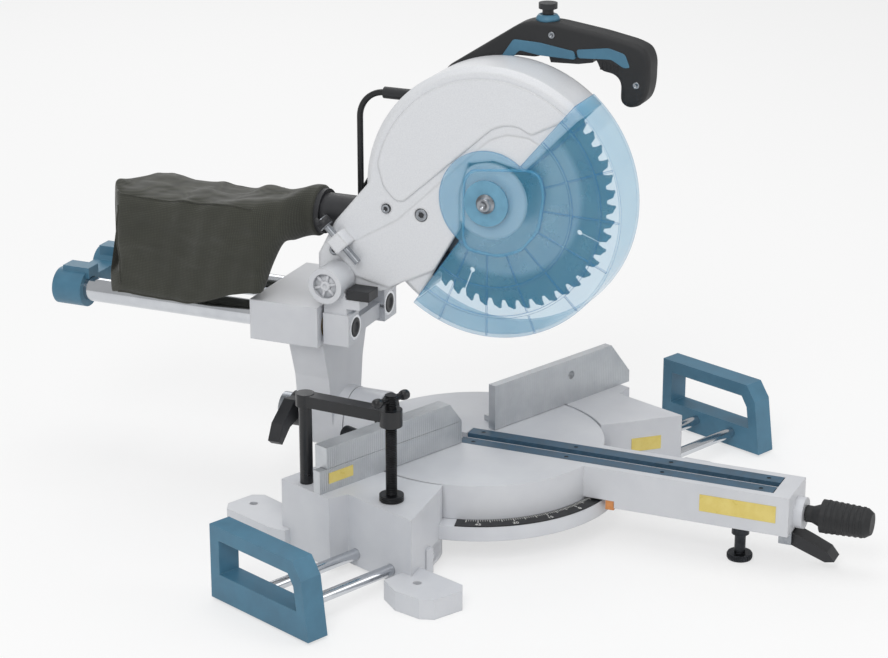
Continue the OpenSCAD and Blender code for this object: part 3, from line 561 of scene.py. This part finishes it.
# tie round the turns at the bottom of the coil
x0, x1 = exitX - 5.2, coilEnd + 5.2
zLow, zHigh = lead["coilZ"] - lead["coilRadius"] - 5.6, lead["coilZ"] - lead["coilRadius"] + 5.6
outline = []
for cx, cz, a0 in ((x1 - 5, zHigh - 5, 0), (x0 + 5, zHigh - 5, 90), (x0 + 5, zLow + 5, 180), (x1 - 5, zLow + 5, 270)):
    for i in range(6):
        a = math.radians(a0 + 90 * i / 5)
        outline.append((cx + 5 * math.cos(a), cz + 5 * math.sin(a), math.cos(a), math.sin(a)))
loops = []
for dy, out in ((-9, 0), (-9, 1.2), (-8.4, 1.6), (8.4, 1.6), (9, 1.2), (9, 0), (-9, 0)):
    loops.append([(x + nx * out, coilY + dy, z + nz * out) for x, z, nx, nz in outline])
tie = piece("cord_tie", *skinLoops(loops, capped=False), tieTape, "head", mitred)


# dust bag: a sewn canvas shell from its collar to its rear seam; its left side hangs outside the near pole
bag = dict(
    collar=(-8.0, 328.0, 28.5),
    # across and up, from the right side round over the top to the hanging left side and back underneath
    neck=[(16, 328), (12, 342), (-8, 352), (-34, 353), (-56, 346), (-66, 330), (-66, 314), (-56, 303), (-34, 299),
          (-8, 299.5), (12, 312)],
    section=[(20, 292), (21, 330), (14, 345), (-20, 350), (-60, 351), (-78, 348), (-86, 337), (-88, 312), (-88, 275),
             (-87.6, 244), (-86, 229), (-82, 224), (-77.5, 226), (-76, 236), (-73, 245), (-50, 244), (-15, 243.6),
             (11, 244.6), (19, 253)],
    rows=(183.0, 418.0, 2.6), seamX=-58.0, hemX=-80.0, around=112, creaseDepth=7.5, topSag=5.0,
    # where along y the neck opens, the near side fills out, the far side follows, and the rear end draws shut
    opens=(190, 212), fills=(207, 234), farLag=52, shuts=398, nearX=-88, width=108,
    # the hanging side: its height in front, how far it drops, and where it does so; it stays left of hangX
    hangZ=245, hangDrop=21, hangs=(236, 330), hangX=-76, middle=(-33, 297))


# a smooth closed line through given points, cut into n equal steps
def closedLine(given, n):
    fine = []
    m = len(given)
    for i in range(m):
        a, b, c, d = (Vector(given[(i + k) % m]) for k in (-1, 0, 1, 2))
        for j in range(24):
            t = j / 24
            bent = (2 * a - 5 * b + 4 * c - d) * t * t + (3 * b - a - 3 * c + d) * t ** 3
            fine.append(0.5 * (2 * b + (c - a) * t + bent))
    steps = [(fine[(i + 1) % len(fine)] - fine[i]).length for i in range(len(fine))]
    whole, done, i, line = sum(steps), 0.0, 0, []
    for k in range(n):
        while done + steps[i] < whole * k / n:
            done += steps[i]
            i += 1
        line.append(fine[i].lerp(fine[(i + 1) % len(fine)], (whole * k / n - done) / steps[i]))
    return line


def eased(value, low, high):
    t = min(1.0, max(0.0, (value - low) / (high - low)))
    return t * t * (3 - 2 * t)


n = bag["around"]
full = closedLine(bag["section"], n)
neck = closedLine(bag["neck"], n)
cx, cz, cr = bag["collar"]
mouth = [Vector((cx + cr * math.cos(2 * math.pi * k / n), cz + cr * math.sin(2 * math.pi * k / n))) for k in range(n)]
loops = []
y, lastY, stepY = bag["rows"]
while y <= lastY + 0.01:
    opened = eased(y, *bag["opens"])
    shut = eased(y, bag["shuts"], lastY + 4)
    loop = []
    for k in range(n):
        # the far side fills out further back than the near one
        lag = bag["farLag"] * (full[k].x - bag["nearX"]) / bag["width"]
        filled = eased(y, bag["fills"][0] + lag, bag["fills"][1] + lag)
        q = mouth[k].lerp(neck[k], opened).lerp(full[k], filled)
        drawnTo = bag["seamX"] if q.y > 250 else bag["hemX"]
        x, z = q.x + (drawnTo - q.x) * shut, q.y
        # the hanging side is lowest at the back, clear of the slide housing in front
        z = max(z, bag["hangZ"] - bag["hangDrop"] * eased(y, *bag["hangs"]))
        # folds fan out from the neck, upright folds run down the sides, and the top sags between its corners
        held = eased(y, 192, 225) * (1 - 0.7 * shut)
        fold = noise.fractal(Vector((y / 58, z / 24 + (y - 190) / 160, x / 38 + 7.3)), 1.0, 2.0, 3)
        upright = noise.noise(Vector((y / 21 + z / 90, z / 140, x / 200 + 2.7)))
        slow = noise.noise(Vector((y / 66 + 3.1, z / 55, x / 55)))
        depth = bag["creaseDepth"] * (0.5 * fold + 0.45 * upright + 0.7 * slow - 0.55) * held
        if z > 300 and x > -80:
            depth -= bag["topSag"] * held * math.sin(math.pi * min(1.0, max(0.0, (y - 225) / 170))) ** 2
        out = Vector((q.x - bag["middle"][0], q.y - bag["middle"][1])).normalized()
        x, z = x + out.x * depth, z + out.y * depth * (0.25 if z < 256 else 1.0)
        if z < bag["hangZ"] - 1:
            x = min(x, bag["hangX"])
        loop.append(Vector((x, y, z if x < bag["hangX"] + 1 else max(z, bag["hangZ"] - 2))))
    loops.append(loop)
    y += stepY
points, faces = skinLoops(loops)
dustBag = piece("canvas_bag", points, faces, bagCanvas, "head", mitred, True, 1)
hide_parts("dust_bag")


# a sewn welt: a round cord of fabric laid along a line of points
def welt(line, radius, sides=8):
    loops = []
    for i, p in enumerate(line):
        ahead = (Vector(line[min(i + 1, len(line) - 1)]) - Vector(line[max(i - 1, 0)])).normalized()
        across = ahead.orthogonal().normalized()
        up = ahead.cross(across)
        angles = [2 * math.pi * k / sides for k in range(sides)]
        loops.append([Vector(p) + (across * math.cos(a) + up * math.sin(a)) * radius for a in angles])
    return skinLoops(loops)


# welts along the four long edges, and one up the left rear edge
parts = []
for sideways, upward in ((-1, 1), (-1, -1), (1, 1), (1, -1)):
    k = max(range(n), key=lambda i: full[i].x * sideways + full[i].y * upward)
    parts.append(welt([loop[k] for loop in loops[20:-4]], 1.0))
leftSide = [k for k in range(n) if full[k].x < -86.8]
parts.append(welt([loops[-7][k] for k in leftSide], 1.1))
bagSeams = piece("bag_seams", *several(parts), bagCanvas, "head", mitred)
print("dust bag: %d faces" % len(faces))


# scales: ticks and plain numbers on the mitre ring and on the bevel plate
scale = dict(ringRadius=143.0, numberRadius=154.8, numberSize=6.8, top=47.25, lift=0.12, bevelRadius=33.0, bevelY=110.95)
parts = []
for d in range(-50, 51):
    a = math.radians(d)
    reach = 6.0 if d % 5 == 0 else 3.6
    if d % 15 == 0:
        reach = 7.5
    along, across = Vector((math.sin(a), -math.cos(a), 0)), Vector((math.cos(a), math.sin(a), 0))
    half = 0.36 if d % 5 == 0 else 0.24
    z = scale["top"]
    corners = [along * (scale["ringRadius"] + u) + across * v for u in (0, reach) for v in (-half, half)]
    low = [c + Vector((0, 0, z - 0.05)) for c in corners]
    high = [c + Vector((0, 0, z + scale["lift"])) for c in corners]
    parts.append((low + high, boxFaces))
mitreTicks = piece("mitre_ticks", *several(parts), scaleInk, "base", square, False)
for d in (-45, -30, -15, 0, 15, 30, 45):
    words = bpy.data.curves.new("mitre_number", "FONT")
    words.body = str(abs(d))
    words.size = scale["numberSize"] / 1000
    words.extrude = 0.00008
    words.align_x = "CENTER"
    words.align_y = "CENTER"
    words.materials.append(scaleInk)
    number = bpy.data.objects.new("mitre_number_%s%d" % ("left" if d < 0 else "right", abs(d)), words)
    a = math.radians(d)
    r = scale["numberRadius"] / 1000
    number.location = (math.sin(a) * r, -math.cos(a) * r, scale["top"] / 1000 + 0.00004)
    number.rotation_euler = (0, 0, a)
    scene.collection.objects.link(number)
    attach(number, "base")
parts = []
for d in range(-48, 49, 3):
    a = math.radians(d)
    reach = 6.0 if d % 15 == 0 else 3.4
    along, across = Vector((math.sin(a), 0, math.cos(a))), Vector((math.cos(a), 0, -math.sin(a)))
    base = Vector((0, scale["bevelY"], tableHeight))
    corners = [base + along * (scale["bevelRadius"] - u) + across * v for u in (0, reach) for v in (-0.35, 0.35)]
    if min(c.z for c in corners) < tableHeight + 5:
        continue
    low = [c + Vector((0, 0.1, 0)) for c in corners]
    high = [c - Vector((0, 0.08, 0)) for c in corners]
    parts.append((low + high, boxFaces))
bevelTicks = piece("bevel_ticks", *several(parts), scaleInk, "turntable", mitred, False)
print("scales")

# blade: carbide tip on each tooth
blade = dict(radius=130.0, teeth=48, kerf=2.8)
parts = []
for i in range(blade["teeth"]):
    a = 2 * math.pi * i / blade["teeth"]
    out, ahead = Vector((0, math.cos(a), math.sin(a))), Vector((0, -math.sin(a), math.cos(a)))
    root = Vector((0, bladeY, bladeZ))
    w = blade["kerf"] / 2
    points = []
    for x in (-w, w):
        for u, v in ((-0.4, -1.2), (-0.2, 1.6), (-8.0, 1.2), (-8.2, -0.9)):
            points.append(root + out * (blade["radius"] + u) + ahead * v + Vector((x, 0, 0)))
    parts.append((points, [[0, 1, 2, 3], [7, 6, 5, 4], [0, 4, 5, 1], [1, 5, 6, 2], [2, 6, 7, 3], [3, 7, 4, 0]]))
carbideTips = piece("carbide_tips", *several(parts), carbide, "blade", mitred, False)

# fittings on the head's left side face this way
toLeft = (-1, 0, 0)

# case screws sit almost flush, since the guard passes over them when it lifts
parts, sockets = [], []
for y, z, r in ((bladeY + 120, bladeZ - 22, 4.8), (158, 293, 4.8), (bladeY + 78, bladeZ - 24, 6.8)):
    parts.append(turned([(0, r), (0.2, r), (0.36, r - 0.7), (0.36, r * 0.55), (0.1, r * 0.52)], (-36, y, z), toLeft, 32))
    # painted shade: a thin black hexagon on each screw head stands in for the shaded socket recess
    sockets.append(turned([(0, r * 0.5), (0.16, r * 0.5)], (-36, y, z), toLeft, 6))
caseScrews = piece("case_screws", *several(parts), zincSteel, "head", mitred)
socketShadeDiscs = piece("case_screw_socket_shades", *several(sockets), blackNylon, "head", mitred, False)
boltProfile = [(0, 10.5), (1.6, 10.5), (1.6, 7.7), (6.6, 7.7), (7.4, 6.9), (7.4, 4.0), (5.4, 3.7)]
hubBolt = piece("hub_bolt", *turned(boltProfile, (-44, bladeY, bladeZ), toLeft, 40), zincSteel, "head", mitred)

# spoked cap in the counterbore of the head's pivot
pivot = dict(x=-66.0, y=152.0, z=263.0, radius=13.6)
pivotPlace = (pivot["x"], pivot["y"], pivot["z"])
parts = [turned([(0, pivot["radius"]), (1.2, pivot["radius"]), (1.2, 1.0)], pivotPlace, toLeft, 40),
         turned([(0, 5.6), (5.0, 5.6), (5.8, 4.6), (5.8, 2.6), (4.0, 2.4)], pivotPlace, toLeft, 24)]
for k in range(6):
    turnBy = Matrix.Translation((0, pivot["y"], pivot["z"])) @ Matrix.Rotation(math.radians(60 * k + 15), 4, "X")
    points, faces = slab(pivot["x"] - 4.6, pivot["x"], -1.3, 1.3, 4.0, pivot["radius"] - 0.2)
    parts.append(([turnBy @ Vector(p) for p in points], faces))
pivotCap = piece("pivot_cap", *several(parts), castingPaint, "carriage", mitred)

# wing knob on the depth stop's head
wing = dict(place=(-44.0, 146.0, 307.0), low=-31.0, high=-23.0, reach=12.0)
tilted = Matrix.Translation(wing["place"]) @ Matrix.Rotation(math.radians(135), 4, "X")
knobProfile = [(wing["low"] - 1.4, 6.0), (wing["low"], 8.6), (wing["high"], 8.6), (wing["high"] + 1.0, 7.0)]
knob, faces = turned(knobProfile, (0, 0, 0), (0, 0, 1), 32)
parts = [([tilted @ Vector(p) for p in knob], faces)]
for side in (-1, 1):
    leaf = [(side * 6.0, wing["high"]), (side * wing["reach"], wing["low"] + 1), (side * wing["reach"], wing["low"] - 4),
            (side * 8.5, wing["low"] - 5), (side * 5.0, wing["low"])]
    loops = [[tilted @ Vector((x, y, z)) for x, z in leaf] for y in (-2.2, 2.2)]
    parts.append(skinLoops(loops))
wingKnob = piece("wing_knob", *several(parts), blackNylon, "depth_screw", mitred)

# moulded grip in place of its solid: straight along the top, blunt at the nose, open under the fingers
grip = dict(
    x=(26.0, 56.0), edge=5.0, corner=7.0,
    outline=[(58, 446), (58, 482), (50, 496), (5.5, 525), (-32, 549.5), (-46, 554), (-74, 554), (-124, 547), (-160, 540),
             (-174, 534.5), (-179.5, 522), (-179, 496), (-176, 482), (-168, 473), (-156, 470), (-147, 476), (-147.5, 497),
             (-140, 505), (-124, 507), (-119, 520), (-60, 521), (-54, 515), (-26, 515), (-8, 504), (2, 490), (2, 454.3),
             (36.9, 454.3), (38, 446)],
    lining=[(-9, 507), (-27, 533), (-56, 532), (-96, 526), (-97, 517), (-57, 518), (-34, 521.5), (-27, 514)],
    thumb=[(-98, 528), (-134, 533), (-152, 528), (-158, 514), (-151, 513), (-137, 521), (-100, 519)])
gripLeft, gripRight = grip["x"]
gripBody = plate(
    "grip_body", [softened(grip["outline"], grip["corner"])], gripLeft, gripRight, grip["edge"], gripRubber, "head")
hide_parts("handle")
gripLining = plate(
    "grip_lining", [softened(grip["lining"], 3.0)], gripLeft - 0.8, gripRight + 0.8, 0.8, blueAbs, "head")
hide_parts("handle_insert")
gripThumb = plate(
    "grip_thumb_inlay", [softened(grip["thumb"], 3.0)], gripLeft - 0.6, gripLeft + 2, 0.6, blueAbs, "head")

# ribs under the thumb inlay, the collar of the lock-off button, the two screws that hold the grip's halves
parts = []
for i in range(5):
    y = -126 - 4.4 * i
    parts.append(slab(gripLeft - 0.8, gripLeft + 1, y - 1.0, y + 1.0, 509.5, 519 - 1.2 * i))
gripRibs = piece("grip_ribs", *several(parts), gripRubber, "head", mitred, False)
collarProfile = [(0, 13), (3, 12.4), (6, 10.2), (6.6, 8.6), (5.4, 7.0)]
buttonCollar = piece("button_collar", *turned(collarProfile, (41, -60, 553.5), (0, 0, 1), 40), blueAbs, "head", mitred)
headProfile = [(0, 3.6), (0.7, 3.6), (0.9, 3.2), (0.9, 1.7), (0.2, 1.6)]
parts = [turned(headProfile, (gripLeft, y, z), toLeft, 24) for y, z in ((-70, 541), (-165, 496))]
gripScrews = piece("grip_screws", *several(parts), zincSteel, "head", mitred)

# raised panel on the case above its arm, and the border of the guard's hub plate
panelFoot = [(98, 372), (84, 358), (74, 358), (-28, 449), (-42, 454.5), (-58, 454.5), (-72, 447)]
panelOutline = aboutBlade(48, 168, 133.0, 30) + panelFoot
casePanel = plate("case_panel", [softened(panelOutline, 4.0, 2)], -36.0, -33.6, 1.0, casePaint, "head")
hubOuter = [(27, 25), (17, 36), (-51, 43), (-62, 36), (-66, 16), (-60, -24), (-40, -49), (-14, -59), (23, -55), (28, -44)]
hubOuter = [(bladeY + y, bladeZ + z) for y, z in hubOuter]
hubMiddle, hubShrink = Vector((bladeY - 18, bladeZ - 6)), 0.94
hubInner = [tuple(hubMiddle.lerp(Vector(corner), hubShrink)) for corner in hubOuter]
hubLines = [softened(hubOuter, 9.0), softened(hubInner, 8.0)]
hubBorder = plate("guard_hub_border", hubLines, -42.4, -40.6, 0.5, guardClear, "lower_guard")

# plugs in the open front ends of the slide poles
poles = dict(x=45, frontY=133.2, z=211)
plugProfile = [(0, 10.9), (5, 10.9), (5.6, 10.2), (5.6, 6.0), (4.8, 5.4)]
parts = [turned(plugProfile, (side * poles["x"], poles["frontY"], poles["z"]), (0, -1, 0), 32) for side in (-1, 1)]
polePlugs = piece("pole_plugs", *several(parts), blackNylon, "carriage", mitred)

# rings that the fingers hold on the mitre grip
hold = dict(front=-438, step=6.2, count=7, z=58, radius=16.2, flare=1.8, length=48)
parts = []
for i in range(hold["count"]):
    y = hold["front"] + hold["step"] * i
    r = hold["radius"] + hold["flare"] * (i * hold["step"] + 4) / hold["length"]
    ring = [(-1.4, r - 0.8), (-0.9, r + 0.5), (0.9, r + 0.55), (1.4, r - 0.8)]
    parts.append(turned(ring, (0, y, hold["z"]), (0, 1, 0), 44))
gripRings = piece("grip_rings", *several(parts), gripRubber, "mitre_grip", mitred)

# knurl on the levelling disc
knurl = dict(x=-16, y=-310, z=4.5, radius=13, half=2.6, count=30)
h = knurl["half"]
parts = []
for k in range(knurl["count"]):
    a = 2 * math.pi * k / knurl["count"]
    c = Vector((knurl["x"] + math.cos(a) * knurl["radius"], knurl["y"] + math.sin(a) * knurl["radius"], knurl["z"]))
    parts.append(turned([(-h, 0.5), (-h + 0.6, 0.9), (h - 0.6, 0.9), (h, 0.5)], c, (0, 0, 1), 6))
levelKnurl = piece("level_knurl", *several(parts), blackOxide, "level_bolt", mitred)

# ball ends on the vise's cross bar
bar = dict(x=-190, y=-62, z=tableHeight + 113, half=19)
ballProfile = [(-5, 3.6), (-4.4, 4.6), (-2, 5.4), (1, 5.6), (3.6, 5.0), (5.2, 3.4), (5.8, 1.2)]
parts = [turned(ballProfile, (bar["x"] + side * bar["half"], bar["y"], bar["z"]), (side, 0, 0), 24) for side in (-1, 1)]
viseEnds = piece("vise_bar_ends", *several(parts), viseEnamel, "vise_screw", square)

# pale steel top strip on each holder, with round corners
strips = dict(inner=341, outer=363, back=22, front=-100, corner=4, under=0.4, over=0.05)
for side, body in ((-1, "left_holder"), (1, "right_holder")):
    x0, x1 = sorted((side * strips["inner"], side * strips["outer"]))
    c, back, front = strips["corner"], strips["back"] - strips["corner"], strips["front"] + strips["corner"]
    loop = []
    for cx, cy, a0 in ((x1 - c, back, 0), (x0 + c, back, 90), (x0 + c, front, 180), (x1 - c, front, 270)):
        for i in range(5):
            a = math.radians(a0 + 90 * i / 4)
            loop.append((cx + c * math.cos(a), cy + c * math.sin(a)))
    rows = [[(x, y, tableHeight - low) for x, y in loop] for low in (strips["under"], strips["over"])]
    strip = piece(body + "_strip", *skinLoops(rows), zincSteel, body, square, False)
print("fittings")
